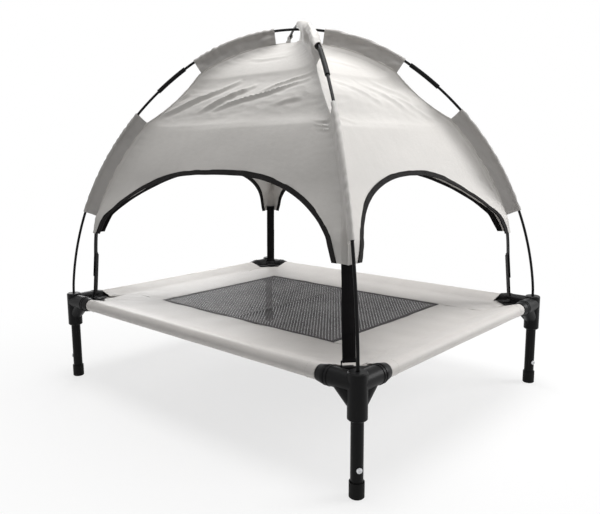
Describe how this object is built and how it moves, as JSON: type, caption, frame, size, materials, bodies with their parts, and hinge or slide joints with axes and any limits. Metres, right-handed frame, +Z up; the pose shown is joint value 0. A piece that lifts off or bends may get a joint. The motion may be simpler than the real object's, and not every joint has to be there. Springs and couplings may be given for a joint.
{
  "type": "raised pet cot with canopy",
  "caption": "Raised dog cot: cloth bed with a mesh centre on a black tube frame with push-in legs, under a lift-off domed canopy on crossed poles.",
  "frame": {"origin": "on the floor, under the middle of the bed", "axes": "+X along the long rails, +Y along the short rails towards the back, +Z up"},
  "size_m": [0.916, 0.746, 0.8518],
  "materials": {
    "fitting_plastic": "moulded, semi-gloss black",
    "tube_steel": "powder coated, satin black",
    "foot_rubber": "matt black",
    "bright_steel": "zinc plated",
    "cover_cloth": "coated plain weave, pale warm grey",
    "mesh_cloth": "open woven mesh, charcoal",
    "webbing": "ribbed webbing, black",
    "ring_plastic": "moulded, black",
    "pole_fibreglass": "pultruded rod, satin black",
    "ferrule_steel": "black",
    "canopy_cloth": "light plain weave with a silvery coat",
    "sleeve_cloth": "light plain weave with a silvery coat",
    "edge_tape": "folded binding tape, black"
  },
  "bodies": {
    "cot": {"corner_front_left": "fitting_plastic", "corner_front_right": "fitting_plastic", "corner_back_right": "fitting_plastic", "corner_back_left": "fitting_plastic", "rail_front": "tube_steel", "rail_right": "tube_steel", "rail_back": "tube_steel", "rail_left": "tube_steel", "cover_front": "cover_cloth", "cover_right": "cover_cloth", "cover_back": "cover_cloth", "cover_left": "cover_cloth", "mesh_centre": "mesh_cloth", "corner_bands": "webbing", "anchor_tabs": "webbing", "strap_rings": "ring_plastic", "strap_loops": "webbing"},
    "canopy": {"pole_crown_lower": "pole_fibreglass", "pole_crown_upper": "pole_fibreglass", "pole_front_left": "pole_fibreglass", "pole_front_right": "pole_fibreglass", "pole_back_right": "pole_fibreglass", "pole_back_left": "pole_fibreglass", "ferrules": "ferrule_steel", "pole_tips": "bright_steel", "canopy_front": "canopy_cloth", "canopy_right": "canopy_cloth", "canopy_back": "canopy_cloth", "canopy_left": "canopy_cloth", "upper_sleeve_front_left": "sleeve_cloth", "upper_sleeve_front_right": "sleeve_cloth", "upper_sleeve_back_right": "sleeve_cloth", "upper_sleeve_back_left": "sleeve_cloth", "lower_sleeve_front_left": "sleeve_cloth", "lower_sleeve_front_right": "sleeve_cloth", "lower_sleeve_back_right": "sleeve_cloth", "lower_sleeve_back_left": "sleeve_cloth", "edge_tape_front": "edge_tape", "edge_tape_right": "edge_tape", "edge_tape_back": "edge_tape", "edge_tape_left": "edge_tape", "strap_front_left": "webbing", "strap_front_right": "webbing", "strap_back_right": "webbing", "strap_back_left": "webbing"},
    "leg_front_left_turning": {"leg_front_left": "tube_steel", "foot_front_left": "foot_rubber", "foot_screw_front_left": "bright_steel"},
    "leg_front_right_turning": {"leg_front_right": "tube_steel", "foot_front_right": "foot_rubber", "foot_screw_front_right": "bright_steel"},
    "leg_back_right_turning": {"leg_back_right": "tube_steel", "foot_back_right": "foot_rubber", "foot_screw_back_right": "bright_steel"},
    "leg_back_left_turning": {"leg_back_left": "tube_steel", "foot_back_left": "foot_rubber", "foot_screw_back_left": "bright_steel"}
  },
  "joints": [
    {"name": "canopy_lift", "type": "slide", "parent": "cot", "child": "canopy", "axis": [0, 0, 1], "range_m": [0, 0.15]},
    {"name": "leg_front_left_turn", "type": "hinge", "parent": "cot", "child": "leg_front_left_turning", "pos_m": [-0.44, -0.355, 0], "axis": [0, 0, 1], "continuous": true},
    {"name": "leg_front_right_turn", "type": "hinge", "parent": "cot", "child": "leg_front_right_turning", "pos_m": [0.44, -0.355, 0], "axis": [0, 0, 1], "continuous": true},
    {"name": "leg_back_right_turn", "type": "hinge", "parent": "cot", "child": "leg_back_right_turning", "pos_m": [0.44, 0.355, 0], "axis": [0, 0, 1], "continuous": true},
    {"name": "leg_back_left_turn", "type": "hinge", "parent": "cot", "child": "leg_back_left_turning", "pos_m": [-0.44, 0.355, 0], "axis": [0, 0, 1], "continuous": true}
  ]
}
